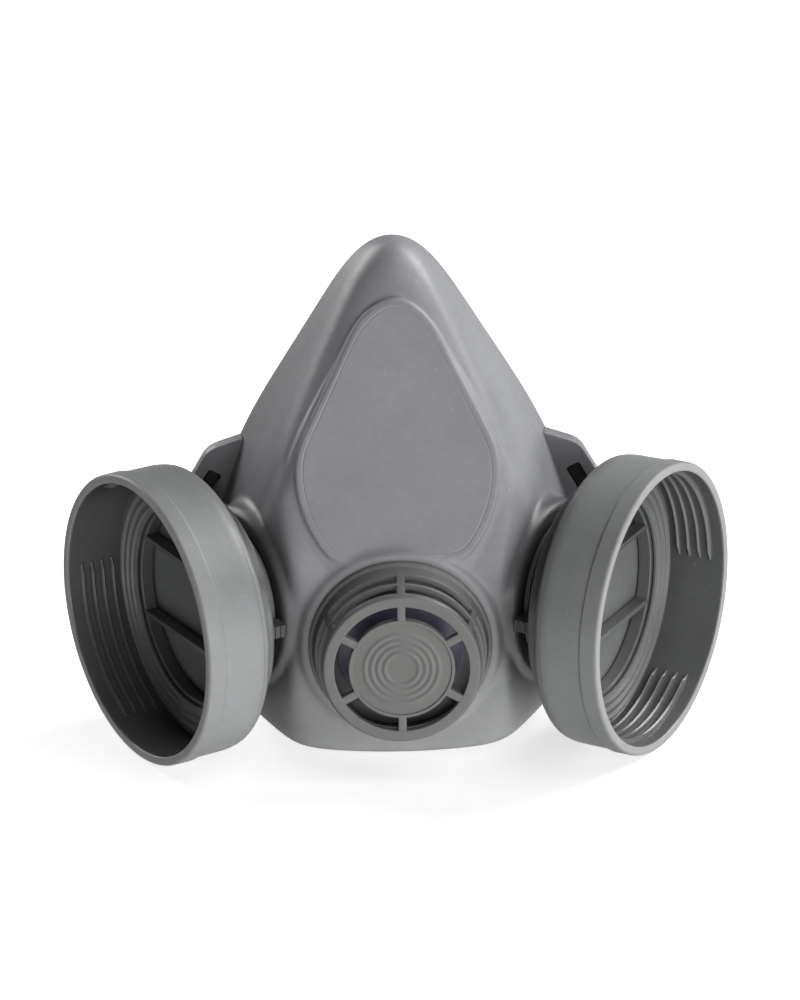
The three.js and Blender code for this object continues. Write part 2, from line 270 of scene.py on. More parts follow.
def disc(outline, radius=0.25):
    """A turned solid whose outline starts and ends on the axis."""
    return turned(rounded(outline, radius, closed=False))


def rod(radius, low, high):
    """A plain cylinder, which cuts a hole."""
    return turned([(0, low), (radius, low), (radius, high), (0, high)], HOLE_STEPS)


def prism(outline, low, high, bevel=0.2, corner=None):
    """An outline of (x, y) points, extruded from low to high along Z, with rounded edges.

    Corner is the radius of the outline's corners, where it isn't the same as the bevel.
    """
    flat = rounded(outline, corner or bevel)
    skin = loft([[(*p, z) for p in flat] for z in (low, high)])
    mesh = bpy.data.meshes.new("prism")
    mesh.from_pydata(skin.points.tolist(), [], skin.faces)
    work = bmesh.new()
    work.from_mesh(mesh)
    bpy.data.meshes.remove(mesh)
    ends = [e for e in work.edges if e.verts[0].co.z == e.verts[1].co.z]
    bmesh.ops.bevel(work, geom=ends, offset=bevel, segments=3, profile=0.5, affect="EDGES")
    work.verts.index_update()
    points = [tuple(v.co) for v in work.verts]
    faces = [tuple(v.index for v in f.verts) for f in work.faces]
    work.free()
    return Shell(points, faces)


def block(x, y, z, cx=0.0, cy=0.0, cz=0.0, bevel=0.2):
    """A box with rounded edges."""
    corners = [(cx + i * x / 2, cy + j * y / 2) for i, j in ((-1, -1), (1, -1), (1, 1), (-1, 1))]
    return prism(corners, cz - z / 2, cz + z / 2, bevel)


def to_object(name, shell):
    """A new object with this skin, in metres."""
    mesh = bpy.data.meshes.new(name)
    mesh.from_pydata((shell.points * MM).tolist(), [], shell.faces)
    work = bmesh.new()
    work.from_mesh(mesh)
    bmesh.ops.recalc_face_normals(work, faces=work.faces)
    work.to_mesh(mesh)
    work.free()
    piece = bpy.data.objects.new(name, mesh)
    bpy.context.scene.collection.objects.link(piece)
    return piece


def combine(piece, tools, operation):
    """Joins or cuts with other skins, and keeps the result as the piece's own mesh."""
    for shell in tools:
        tool = to_object("tool", shell)
        change = piece.modifiers.new("change", "BOOLEAN")
        change.operation = operation
        change.solver = "MANIFOLD"
        change.object = tool
        evaluated = piece.evaluated_get(bpy.context.evaluated_depsgraph_get())
        mesh = bpy.data.meshes.new_from_object(evaluated)
        piece.modifiers.clear()
        spent = piece.data
        piece.data = mesh
        bpy.data.meshes.remove(spent)
        bpy.data.objects.remove(tool)


def piece_points(piece):
    """The piece's points, in millimetres."""
    points = np.empty(len(piece.data.vertices) * 3)
    piece.data.vertices.foreach_get("co", points)
    return points.reshape(-1, 3) / MM


def store(piece, name, values):
    """Keeps a number for each point, which a material can read by this name."""
    marks = piece.data.attributes.new(name, "FLOAT", "POINT")
    marks.data.foreach_set("value", np.asarray(values, np.float32))


# ---------------------------------------------------------------- materials

# every moulded surface: scales of the noises, per metre
CLOUD_SCALE = 38  # slow tone changes
MOTTLE_SCALE = 420
SPECK_SCALE = 760
SCRATCH_SCALE = 330
WEAR_SCALE = 24  # where the scratches are
GLOSS_SCALE = 150
ORANGE_PEEL_SCALE = 260
WEAR = 0.3  # how pale the scratches are at most
PALE = 1.9  # how much paler than the surface the specks and scratches are

# rubber
MOULD_LINE = 0.0363  # height of the mould's parting line, in metres
MOULD_LINE_HALF = 0.0004
MOULD_LINE_DEPTH = 0.12
TINT_EDGE = 0.0003  # half the height over which the mould's two tints meet
LOWER_TINT = (0.97, 0.985, 0.95)
UPPER_TINT = (1.0, 1.0, 1.03)
CREVICE_PAINTED_SHADE = 0.15  # painted shade: how dark the rubber is painted where a cup's back covers it
PANEL_LINE = 1.5  # how far inside the panel's edge its fine line runs
PANEL_LINE_HALF = 0.25
PANEL_LINE_DEPTH = 0.08
PANEL_RANGE = 10.0  # the panel_inside attribute goes from 0 to 1 over this distance

# cups
INSIDE_GLOSS = 0.55  # the inside's roughness, as a share of the outside's
INSIDE_PAINTED_SHADE = 0.5  # painted shade: how dark the inside and the back are painted beside the outside
RIM_WEAR = 0.35
RIM_COLOR = (0.5, 0.5, 0.49, 1)

# the sockets of a Mix node that mixes colours
MIX_FACTOR, MIX_FIRST, MIX_SECOND, MIX_RESULT = 0, 6, 7, 2


def shader(name, color, roughness, specular=0.5):
    """A new material, and its node tree and main shader."""
    material = bpy.data.materials.new(name)
    material.use_nodes = True
    tree = material.node_tree
    main = tree.nodes["Principled BSDF"]
    main.inputs["Base Color"].default_value = (*color, 1)
    main.inputs["Roughness"].default_value = roughness
    main.inputs["Specular IOR Level"].default_value = specular
    return material, tree, main


def surface_noise(tree, scale, detail, roughness=0.55, stretch=(1, 1, 1)):
    """Noise over the piece's own coordinates, in metres. It gives the noise value."""
    place = tree.nodes.new("ShaderNodeTexCoord")
    mapping = tree.nodes.new("ShaderNodeMapping")
    mapping.inputs["Scale"].default_value = stretch
    noise = tree.nodes.new("ShaderNodeTexNoise")
    noise.inputs["Scale"].default_value = scale
    noise.inputs["Detail"].default_value = detail
    noise.inputs["Roughness"].default_value = roughness
    tree.links.new(place.outputs["Object"], mapping.inputs["Vector"])
    tree.links.new(mapping.outputs["Vector"], noise.inputs["Vector"])
    return noise.outputs["Fac"]


def ramp(tree, value, stops):
    """Turns a value into a colour or a grey, along [position, grey or colour] stops."""
    node = tree.nodes.new("ShaderNodeValToRGB")
    elements = node.color_ramp.elements
    while len(elements) < len(stops):
        elements.new(0.5)
    for element, (position, tone) in zip(elements, stops):
        element.position = position
        element.color = (*tone, 1) if hasattr(tone, "__len__") else (tone, tone, tone, 1)
    tree.links.new(value, node.inputs["Fac"])
    return node.outputs["Color"]


def spread(tree, noise, low, high):
    """A grey from low to high over the range that most of a noise's values are in."""
    return ramp(tree, noise, [(0.3, low), (0.7, high)])


def blend_colors(tree, how, factor, first, second):
    """Mixes two colours. The factor and the colours are values, or other nodes' outputs."""
    node = tree.nodes.new("ShaderNodeMix")
    node.data_type = "RGBA"
    node.blend_type = how
    for key, value in ((MIX_FACTOR, factor), (MIX_FIRST, first), (MIX_SECOND, second)):
        if isinstance(value, bpy.types.NodeSocket):
            tree.links.new(value, node.inputs[key])
        else:
            node.inputs[key].default_value = value
    return node.outputs[MIX_RESULT]


def multiplied(tree, first, second):
    return blend_colors(tree, "MULTIPLY", 1.0, first, second)


def attribute(tree, name):
    """The value that a piece stores for each point under this name."""
    node = tree.nodes.new("ShaderNodeAttribute")
    node.attribute_name = name
    return node.outputs["Fac"]


def output_into(main, name):
    """The output that feeds one input of a main shader."""
    return main.inputs[name].links[0].from_socket


def bump(tree, main, height, distance):
    """Adds a bump under any that is there already. The distance is in millimetres."""
    node = tree.nodes.new("ShaderNodeBump")
    node.inputs["Strength"].default_value = 1.0
    node.inputs["Distance"].default_value = distance * MM
    tree.links.new(height, node.inputs["Height"])
    if main.inputs["Normal"].links:
        tree.links.new(output_into(main, "Normal"), node.inputs["Normal"])
    tree.links.new(node.outputs["Normal"], main.inputs["Normal"])


def height_above_floor(tree):
    """Height in metres, for tone changes between the upper and lower halves of a mould."""
    place = tree.nodes.new("ShaderNodeTexCoord")
    split = tree.nodes.new("ShaderNodeSeparateXYZ")
    tree.links.new(place.outputs["Object"], split.inputs["Vector"])
    return split.outputs["Z"]


def scratches(tree, stretch):
    """Sparse thin marks, drawn out along one direction, on the worn places. It gives 0 to WEAR."""
    marks = surface_noise(tree, SCRATCH_SCALE, 2, 0.5, stretch)
    marks = ramp(tree, marks, [(0.71, 0.0), (0.74, 1.0)])
    worn = ramp(tree, surface_noise(tree, WEAR_SCALE, 3), [(0.45, 0.0), (0.7, WEAR)])
    return multiplied(tree, marks, worn)


def moulded(name, color, roughness, grain, grain_depth, stretch=(3, 1, 1)):
    """Moulded rubber or plastic: slow tone changes, scratches, fine grain and small pale specks.

    Grain is the scale of the finest bump. The stretch packs the scratches closer along an axis.
    """
    material, tree, main = shader(name, color, roughness)
    cloudy = spread(tree, surface_noise(tree, CLOUD_SCALE, 4), 0.9, 1.08)
    tone = multiplied(tree, (*color, 1), cloudy)
    mottle = spread(tree, surface_noise(tree, MOTTLE_SCALE, 5, 0.7), 0.95, 1.05)
    tone = multiplied(tree, tone, mottle)
    pale = (*(min(1.0, c * PALE) for c in color), 1)
    specks = ramp(tree, surface_noise(tree, SPECK_SCALE, 1), [(0.76, 0.0), (0.8, 0.5)])
    tone = blend_colors(tree, "MIX", specks, tone, pale)
    tone = blend_colors(tree, "MIX", scratches(tree, stretch), tone, pale)
    tree.links.new(tone, main.inputs["Base Color"])
    gloss = surface_noise(tree, GLOSS_SCALE, 4)
    gloss = spread(tree, gloss, roughness - 0.07, roughness + 0.08)
    tree.links.new(gloss, main.inputs["Roughness"])
    bump(tree, main, surface_noise(tree, ORANGE_PEEL_SCALE, 3), grain_depth * 2)
    bump(tree, main, surface_noise(tree, grain, 3), grain_depth)
    return material


def painted_inside_shade_and_worn_rim(material):
    """Painted shade makes the cups' inside and back darker than their outside, and they are glossier;
    their rims are worn the most.
    """
    tree = material.node_tree
    main = tree.nodes["Principled BSDF"]
    inside = attribute(tree, "cup_inside")
    # painted shade: the inside and the back of the cup are darkened
    tone = ramp(tree, inside, [(0.3, 1.0), (0.7, INSIDE_PAINTED_SHADE)])
    wear = ramp(tree, attribute(tree, "cup_rim"), [(0.3, 0.0), (0.8, RIM_WEAR)])
    color = multiplied(tree, output_into(main, "Base Color"), tone)
    color = blend_colors(tree, "MIX", wear, color, RIM_COLOR)
    tree.links.new(color, main.inputs["Base Color"])
    smooth = ramp(tree, inside, [(0.3, 1.0), (0.7, INSIDE_GLOSS)])
    roughness = multiplied(tree, output_into(main, "Roughness"), smooth)
    tree.links.new(roughness, main.inputs["Roughness"])


def groove(at, half):
    """Ramp stops for a V groove this far along, with flanks of this half width."""
    return [(at - half, 1.0), (at, 0.0), (at + half, 1.0)]


def rubber_details(material):
    """The mould's two tints, its parting line, painted shade behind the cups and the panel's line."""
    tree = material.node_tree
    main = tree.nodes["Principled BSDF"]
    height = height_above_floor(tree)
    tints = [(MOULD_LINE - TINT_EDGE, LOWER_TINT), (MOULD_LINE + TINT_EDGE, UPPER_TINT)]
    color = output_into(main, "Base Color")
    color = multiplied(tree, color, ramp(tree, height, tints))
    # painted shade: the rubber is darkened where a cup's back covers it
    painted_shade = ramp(tree, attribute(tree, "crevice"), [(0.0, 1.0), (1.0, CREVICE_PAINTED_SHADE)])
    color = multiplied(tree, color, painted_shade)
    tree.links.new(color, main.inputs["Base Color"])
    mould_line = ramp(tree, height, groove(MOULD_LINE, MOULD_LINE_HALF))
    bump(tree, main, mould_line, MOULD_LINE_DEPTH)
    line = groove(PANEL_LINE / PANEL_RANGE, PANEL_LINE_HALF / PANEL_RANGE)
    bump(tree, main, ramp(tree, attribute(tree, "panel_inside"), line), PANEL_LINE_DEPTH)


# colour, roughness, scale of the finest bump and its depth in millimetres, and the stretch
# of the scratches where it isn't the usual one
LOOKS = {
    "rubber": ((0.265, 0.268, 0.275), 0.42, 2600, 0.03),
    "valve_plastic": ((0.1, 0.1, 0.1), 0.45, 2000, 0.02),
    "cover_plastic": ((0.145, 0.145, 0.141), 0.45, 2200, 0.03),
    "cup_plastic": ((0.25, 0.256, 0.26), 0.4, 2200, 0.02, (1, 1, 6)),
    "blue_silicone": ((0.085, 0.088, 0.135), 0.3, 1500, 0.01),
    "grey_silicone": ((0.16, 0.163, 0.163), 0.4, 1500, 0.01),
    "flap_silicone": ((0.18, 0.185, 0.187), 0.4, 1500, 0.01),
    "black_plastic": ((0.006, 0.006, 0.006), 0.5, 1800, 0.02),
}
MATERIALS = {name: moulded(name, *look) for name, look in LOOKS.items()}
rubber_details(MATERIALS["rubber"])
painted_inside_shade_and_worn_rim(MATERIALS["cup_plastic"])

# ---------------------------------------------------------------- pieces

SMOOTH_BELOW = 38  # edges that turn less than this many degrees are shaded smooth
RUBBER_SMOOTH_BELOW = 65  # so that the panel's slopes are smooth, and the cut edges are not


def finish_piece(piece, body, slot, nodes, smooth_below):
    """Shading, material, the body that the piece rides on, its slot and the CAD node it shows."""
    piece.data.name = piece.name
    for polygon in piece.data.polygons:
        polygon.use_smooth = True
    piece.data.set_sharp_from_angle(angle=math.radians(smooth_below))
    piece.data.materials.clear()
    piece.data.materials.append(MATERIALS[slot])
    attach(piece, body)
    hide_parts(*nodes)
    return piece


def add(name, shells, place, body, slot, nodes, holes=(), smooth_below=SMOOTH_BELOW):
    """A piece of one or more skins that are joined, and cut by the holes, in a frame."""
    piece = to_object(name, shells[0].placed(place))
    combine(piece, [s.placed(place) for s in shells[1:]], "UNION")
    combine(piece, [s.placed(place) for s in holes], "DIFFERENCE")
    return finish_piece(piece, body, slot, nodes, smooth_below)


# ---------------------------------------------------------------- facepiece

AROUND = 480  # steps around the valve axis
CROWD = 0.45  # how much closer together the steps are at the nose
CRISP_BLEND = 40  # the blend around the panel and the valve, where the edges are crisper
# how far forwards and how far up a direction points while the blend goes to CRISP_BLEND
CRISP_FORWARD = (0.35, 0.8)
CRISP_UP = (-0.5, -0.2)
BOSS_BLEND = 3.0  # how softly the bosses grow out of the rubber
BOSS_EDGE = 1.0
PORT_BOSS_EDGE = 4.0
PANEL_EDGE = 1.3  # width of the slope at the panel's edge
PANEL_TOP_FADE = 5.0  # how much wider the slope is at the top, where the panel fades out
PANEL_FADE_FROM = (48, 61)  # heights up the panel between which it widens
PANEL_SKIRT = 0.1  # how the rubber curves away outside that slope, as a square law
SKIRT_WIDTH = 9.0
GRAZING = 0.2  # the panel is left out where a direction's cosine with its normal is less
CREVICE_HEIGHT = (-38, -29)  # heights in a cup's frame over which its back covers the rubber and painted shade darkens it
CREVICE_RADIUS = (19, 28)

PANEL_NORMAL = np.array([0, -math.cos(PANEL_TILT), math.sin(PANEL_TILT)])
PANEL_UP = np.array([0, math.sin(PANEL_TILT), math.cos(PANEL_TILT)])
PANEL_DISTANCE = float(PANEL_NORMAL @ (PANEL_FOOT - CORE))


def shell_faces():
    """The flat faces of the shell: unit normals, and distances from CORE."""
    rows = [
        (PANEL_NORMAL, PANEL_DISTANCE - PANEL_LIFT),
        ((0, -1, 0), 33.5),
        (PANEL_UP, 86.6),
    ]
    for side in SIDES.values():
        rows += [
            ((side * 0.869, -0.118, 0.48), 48.8),
            ((side * 0.97, -0.1, 0.2), 44.5),
            (cup_axis(side), 39.2),
            ((side * 0.12, 0.02, -1), 31.85),
            ((side * 0.7, 0.25, -0.66), 47.4),
        ]
    normals = np.array([row[0] for row in rows], float)
    normals /= np.linalg.norm(normals, axis=1)[:, None]
    return normals, np.array([row[1] for row in rows])


FACE_NORMALS, FACE_DISTANCES = shell_faces()


def smooth_max(a, b, width):
    """The larger of two numbers, rounded where they differ by less than the width."""
    return np.maximum(a, b) + np.maximum(width - np.abs(a - b), 0) ** 2 / (4 * width)


def smooth_min(a, b, width):
    return -smooth_max(-a, -b, width)


def smooth_step(value, low, high):
    """0 below low, 1 above high, and a soft S between them."""
    t = np.clip((value - low) / (high - low), 0, 1)
    return t * t * (3 - 2 * t)


def blended_reach(direction, inset):
    """How far the blend of the flat faces is from CORE along each direction."""
    toward = np.clip(direction @ FACE_NORMALS.T / (FACE_DISTANCES - inset), 1e-6, None)
    forward, up = -direction[..., 1], direction[..., 2]
    crisp = smooth_step(forward, *CRISP_FORWARD) * smooth_step(up, *CRISP_UP)
    power = BLEND + (CRISP_BLEND - BLEND) * crisp
    return (toward ** power[..., None]).sum(-1) ** (-1 / power)


def boss_reach(direction, place, end, radius, edge, inset):
    """The same for a round boss along a frame's Y axis. It is 0 in directions away from it."""
    axis = place[:3, 1]
    centre = place[:3, 3] - CORE
    height = centre @ axis
    shift = centre - height * axis
    along = direction @ axis
    across = direction - along[..., None] * axis
    a = np.maximum((across ** 2).sum(-1), 1e-9)
    b = across @ shift
    c = shift @ shift - (radius - inset) ** 2
    flank = (b + np.sqrt(b * b - a * c)) / a
    cap = (height + end - inset) / np.maximum(along, 1e-6)
    return np.where(along > 0.1, smooth_min(flank, cap, edge), 0)


# The panel's outline, seen square on: straight sides that face these directions, in degrees
# up from +X, at these distances from its middle, blended into one curve. The left half is
# the mirror image of the right one.
PANEL_OUTLINE = (
    (90, 38.3), (50, 31.0), (26.4, 22.5), (0, 24.7), (-20, 26.3), (-40, 28.4), (-90, 25.0),
)
PANEL_BLEND = 24
PANEL_MIDDLE = 25.0  # how far the middle is up the panel from PANEL_FOOT
PANEL_BACK = 28.0  # the panel lies in front of this Y


def panel_inside(points):
    """How far points are inside the panel's outline, seen square on. It is negative outside."""
    across = np.abs(points[..., 0])
    up = (points - PANEL_FOOT) @ PANEL_UP - PANEL_MIDDLE
    total = np.zeros(across.shape)
    for degrees, distance in PANEL_OUTLINE:
        turn = math.radians(degrees)
        reach = math.cos(turn) * across + math.sin(turn) * up
        total += np.clip(reach / distance, 0, None) ** PANEL_BLEND
    share = np.maximum(total ** (1 / PANEL_BLEND), 1e-6)
    return (1 / share - 1) * np.hypot(across, up)


def panel_reach(direction):
    """How far the raised panel and its slopes are from CORE. It is 0 away from them."""
    facing = direction @ PANEL_NORMAL
    against = np.maximum(facing, GRAZING)
    plane = PANEL_DISTANCE / against
    spot = CORE + direction * plane[..., None]
    outside = np.maximum(-panel_inside(spot), 0)
    up = (spot - PANEL_FOOT) @ PANEL_UP
    slope = PANEL_EDGE + PANEL_TOP_FADE * smooth_step(up, *PANEL_FADE_FROM)
    drop = PANEL_LIFT * smooth_step(outside, 0, slope) + PANEL_SKIRT * outside ** 2
    near = (facing > GRAZING) & (outside < SKIRT_WIDTH)
    return np.where(near, plane - drop / against, 0)


def shell_reach(direction, inset):
    """How far the shell's surface, or its inside at this inset, is from CORE."""
    reach = blended_reach(direction, inset)
    if inset == 0:
        reach = smooth_max(reach, panel_reach(direction), PANEL_LIFT)
    bosses = [(VALVE_FRAME, SEAT_OUT, BOSS_RADIUS, BOSS_EDGE)]
    for side in SIDES.values():
        bosses.append((cup_frame(side), PORT_FACE, PORT_BOSS_RADIUS, PORT_BOSS_EDGE))
    for place, end, radius, edge in bosses:
        boss = boss_reach(direction, place, end, radius, edge, inset)
        reach = smooth_max(reach, boss, BOSS_BLEND)
    return reach


def shell_point(theta, phi, inset):
    """Theta turns away from the front, and phi goes around the valve axis from +X."""
    direction = np.stack([
        np.sin(theta) * np.cos(phi),
        -np.cos(theta),
        np.sin(theta) * np.sin(phi),
    ], axis=-1)
    return CORE + direction * shell_reach(direction, inset)[..., None]


def rim_y(z):
    """Where the shell ends at this height: further forwards at the nose than at the chin."""
    return RIM_Y_LOW + (RIM_Y_TOP - RIM_Y_LOW) * smooth_step(z, *RIM_RISE)


def rim_angle(phi, inset):
    """The theta at which the surface reaches the rim, found by halving."""
    low = np.full(phi.shape, math.radians(60))
    high = np.full(phi.shape, math.radians(140))
    for _ in range(30):
        middle = (low + high) / 2
        p = shell_point(middle, phi, inset)
        short = p[:, 1] < rim_y(p[:, 2])
        low = np.where(short, middle, low)
        high = np.where(short, high, middle)
    return low


def shell_loops(inset, shares):
    """Loops around the valve axis, at these shares of the way from the bore to the rim."""
    turn = np.arange(AROUND) / AROUND * 2 * math.pi
    phi = turn + CROWD * np.cos(turn)
    start = math.atan(VALVE_BORE / (SEAT_OUT + CORE[1] - inset))
    end = rim_angle(phi, inset)
    return [shell_point(start + (end - start) * share, phi, inset) for share in shares]


def lip_outline():
    """From the outer edge of the shell to its inner edge: (how far back, how far in)."""
    roll = [math.radians(a) for a in range(10, 91, 10)]
    points = [(LIP_ROLL * math.sin(a), LIP_ROLL * (1 - math.cos(a))) for a in roll]
    points += [(LIP_ROLL + 0.15, 6), (LIP_ROLL + 0.25, 8)]
    half = LIP_THICK / 2
    for a in range(0, 181, 30):
        tip = math.radians(a)
        back = LIP_ROLL + 0.25 - half + half * math.cos(tip)
        points.append((back, LIP_REACH - half + half * math.sin(tip)))
    points += [(LIP_ROLL - LIP_THICK + 0.2, 7.5), (LIP_ROLL - LIP_THICK, 5.5)]
    points += [(LIP_ROLL - LIP_THICK - 0.3, 4.3), (LIP_ROLL - LIP_THICK - 1.0, 3.4)]
    return points


def lip_loops(rim):
    """The face seal lip: the lip's outline carried round the rim."""
    out = (rim - CORE) * np.array([1, 0, 1])
    out /= np.linalg.norm(out, axis=1)[:, None]
    return [rim - out * inward + np.array([0, back, 0]) for back, inward in lip_outline()]


def shell_skin():
    """Outside, lip and inside in one skin. The loops are closest together over the front panel."""
    outer_shares = np.concatenate([
        np.linspace(0, 0.2, 16),
        np.linspace(0.2, 0.89, 124)[1:],
        np.linspace(0.89, 1, 12)[1:],
    ])
    inner_shares = np.concatenate([np.linspace(1, 0.2, 20), np.linspace(0.2, 0, 6)[1:]])
    outer = shell_loops(0, outer_shares)
    inner = shell_loops(WALL, inner_shares)
    return loft(outer + lip_loops(outer[-1]) + inner, wrap=True)


def lug_skin(side):
    """The flat strap lug that stands out of the shell, as (x, z) points of the right one."""
    outline = [
        (36, 66.5), (43.8, 63.8), (45.9, 62.3), (53.6, 48.4),
        (55.4, 43), (53.6, 39), (43, 36), (39, 54),
    ]
    flat = [(side * x, z) for x, z in outline]
    plate = prism(flat, -LUG_THICK, 0, bevel=0.4, corner=1.2)
    return plate.placed(basis((1, 0, 0), (0, 0, 1), (0, -1, 0), (0, LUG_FRONT_Y, 0)))


def slot_skin(side):
    """The cutter for a lug's slot."""
    cutter = block(SLOT_WIDTH, LUG_THICK * 3, SLOT_LENGTH, bevel=0.6)
    return cutter.placed(slot_frame(side))


def mark_painted_crevice_shade(piece):
    """Stores how closely the back of a cup covers each point, for the painted shade that the material
    lays there.
    """
    points = piece_points(piece)
    painted_shade = np.zeros(len(points))
    for side in SIDES.values():
        place = cup_frame(side)
        local = (points - place[:3, 3]) @ place[:3, :3]
        radius = np.hypot(local[:, 0], local[:, 2])
        near = smooth_step(local[:, 1], *CREVICE_HEIGHT) * (1 - smooth_step(radius, *CREVICE_RADIUS))
        painted_shade = np.maximum(painted_shade, near)
    store(piece, "crevice", painted_shade)


def mark_panel(piece):
    """Stores how far each point of the front is inside the panel's edge, for the material."""
    points = piece_points(piece)
    inside = np.where(points[:, 1] < PANEL_BACK, panel_inside(points), 0)
    store(piece, "panel_inside", np.clip(inside / PANEL_RANGE, 0, 1))


def build_facepiece():
    holes = [slot_skin(side) for side in SIDES.values()]
    for side in SIDES.values():
        hole = rod(NECK_RADIUS + FIT_GAP, PORT_FACE - 9, PORT_FACE + 4)
        holes.append(hole.placed(cup_frame(side)))
    skins = [shell_skin()] + [lug_skin(side) for side in SIDES.values()]
    piece = add(
        "facepiece_rubber", skins, PLAIN_FRAME, "mask", "rubber", ["facepiece"], holes,
        RUBBER_SMOOTH_BELOW,
    )
    mark_panel(piece)
    mark_painted_crevice_shade(piece)


# ---------------------------------------------------------------- exhalation valve


def around(shell, count, start):
    """Copies of a skin about the local Y axis, the first one turned by start degrees."""
    return [shell.turned_about_axis(math.radians(start + i * 360 / count)) for i in range(count)]


def wave(inner, outer, base, height, rings):
    """Outline points of low rounded rings, from the outer radius to the inner one."""
    steps = rings * WAVE_STEPS
    points = []
    for i in range(steps + 1):
        share = i / steps
        rise = height * (0.5 - 0.5 * math.cos(share * rings * 2 * math.pi))
        points.append((outer + (inner - outer) * share, base + rise))
    return points


def valve_seat():
    """The barrel that the diaphragm closes on, and the hub that holds its stem."""
    barrel = ring([
        (13.8, 8.5), (16.7, 8.5), (16.7, 15.9), (20.2, 15.9),
        (20.2, 17), (15.6, 17), (15.2, 17.6), (13.8, 17.6),
    ])
    hub = washer(2, 4, 12.5, 15)
    spokes = around(block(11, 2.5, 1.8, 9, 13.75, 0), 4, 45)
    return [barrel, hub, *spokes]


def diaphragm():
    """A mushroom valve: its stem, the bead that holds it in the hub, and its thin disc."""
    return disc([
        (0, 8.6), (1.2, 8.6), (2.6, 9.8), (2.6, 10.7), (1.6, 10.9), (1.6, 15.6), (4, 17.9),
        (15.4, 17.9), (15.4, 18.6), (8, 19.2), (0, 19.2),
    ], radius=0.3)


def cover():
    """The cage: a collar, a hoop halfway, the front ring, the disc, and the ribs between them."""
    collar = ring([
        (20.5, 14.8), (22.3, 14.8), (22.3, 16.2), (21.4, 16.6), (20.9, 20), (19.6, 20), (20.5, 17.4),
    ], radius=0.2)
    hoop = ring([(19.1, 23.7), (20.4, 23.7), (20.3, 24.5), (19, 24.5)], radius=0.15)
    front = ring([
        (16.4, 27.6), (19.5, 27.6), (19.4, 28.9), (18.9, COVER_FRONT), (16.4, COVER_FRONT),
    ])
    edge = [
        (0, 27.6), (12.9, 27.6), (12.9, COVER_FRONT), (12.1, COVER_FRONT),
        (12.1, DISC_FACE), (10.4, DISC_FACE),
    ]
    face = rounded(edge, 0.15, closed=False) + wave(3.4, 9.8, DISC_FACE, DISC_RING, DISC_RINGS)
    middle = turned(face + [(2.6, DISC_FACE), (0, DISC_FACE)])
    skins = [collar, hoop, front, middle]
    spoke = block(4.6, 1.8, RIB_WIDTH, 14.7, COVER_FRONT - 0.95, 0)
    side_outline = [(19.7, 19), (21, 19), (19.5, 28.5), (18.2, 28.5)]
    side_rib = prism(side_outline, -RIB_WIDTH / 2, RIB_WIDTH / 2)
    return skins + around(spoke, COVER_RIBS, 90) + around(side_rib, COVER_RIBS, 90)


def build_exhalation_valve():
    def part(name, skins, body, slot, node):
        return add(name, skins, VALVE_FRAME, body, slot, [node])

    part("valve_seat", valve_seat(), "mask", "valve_plastic", "exhalation_seat")
    part("blue_valve", [diaphragm()], "diaphragm", "blue_silicone", "exhalation_diaphragm")
    part("cage_cover", cover(), "cover", "cover_plastic", "exhalation_cover")
    seal = washer(17.3, 20.2, SEAT_OUT + FIT_GAP, 15.6)
    part("seat_washer", [seal], "mask", "grey_silicone", "exhalation_seal")
    retainer = washer(17, 20.5, 8.6, 11.2, radius=0.3)
    part("seat_ring", [retainer], "mask", "valve_plastic", "exhalation_retaining_ring")


# ---------------------------------------------------------------- filter cups


def thread_ridge(turn, height):
    """One rounded ridge of the interrupted thread. It is lower and narrower towards its ends."""
    profile = [(0.4, -0.75), (-0.1, -0.72), (-0.6, -0.6), (-1.0, -0.38), (-1.2, 0)]
    profile += [(r, -h) for r, h in reversed(profile[:-1])]
    loops = []
    for i in range(THREAD_STEPS + 1):
        share = i / THREAD_STEPS
        angle = turn + (share - 0.5) * THREAD_TURN
        ends = smooth_step(min(share, 1 - share), 0, THREAD_TAPER)
        size = THREAD_END + (1 - THREAD_END) * float(ends)
        loop = []
        for depth, along in profile:
            r = CUP_WALL_RADIUS + (depth * size if depth < 0 else depth)
            y = height + along * (0.5 + 0.5 * size)
            loop.append((r * math.cos(angle), y, r * math.sin(angle)))
        loops.append(loop)
    return loft(loops)


def cup_threads():
    ridges = []
    for segment in range(THREAD_SEGMENTS):
        turn = THREAD_AT + segment * 2 * math.pi / THREAD_SEGMENTS
        ridges += [thread_ridge(turn, THREAD_TOP - k * THREAD_PITCH) for k in range(THREAD_RIDGES)]
    return ridges


def cup():
    """The open cup with its rim band, the grille seat with its two bars, and the thread."""
    body = ring([
        (34.2, 0), (35.9, 0), (CUP_RADIUS, -0.5), (CUP_RADIUS, -4.6, 0.15), (35.9, -4.9, 0.15),
        (35.7, -14.6, 2), (35.2, -16.8, 2), (34, -18.1, 2), (32, CUP_BACK, 1), (28, CUP_BACK),
        (28, CHAMBER_END), (CHAMBER_RADIUS, CHAMBER_END), (CHAMBER_RADIUS, CUP_BACK),
        (GRILLE_RADIUS, CUP_BACK), (GRILLE_RADIUS, CUP_FLOOR), (33.4, CUP_FLOOR),
        (CUP_WALL_RADIUS, -14.6), (CUP_WALL_RADIUS, -0.5),
    ], radius=0.3, steps=FINE_STEPS)
    length = 2 * math.sqrt((GRILLE_RADIUS + 0.6) ** 2 - GRILLE_BAR_AT ** 2)
    middle = (CUP_FLOOR + CUP_BACK) / 2
    depth = CUP_FLOOR - CUP_BACK
    bars = [block(length, depth, GRILLE_BAR, 0, middle, s * GRILLE_BAR_AT) for s in (-1, 1)]
    return [body, *bars, *cup_threads()]


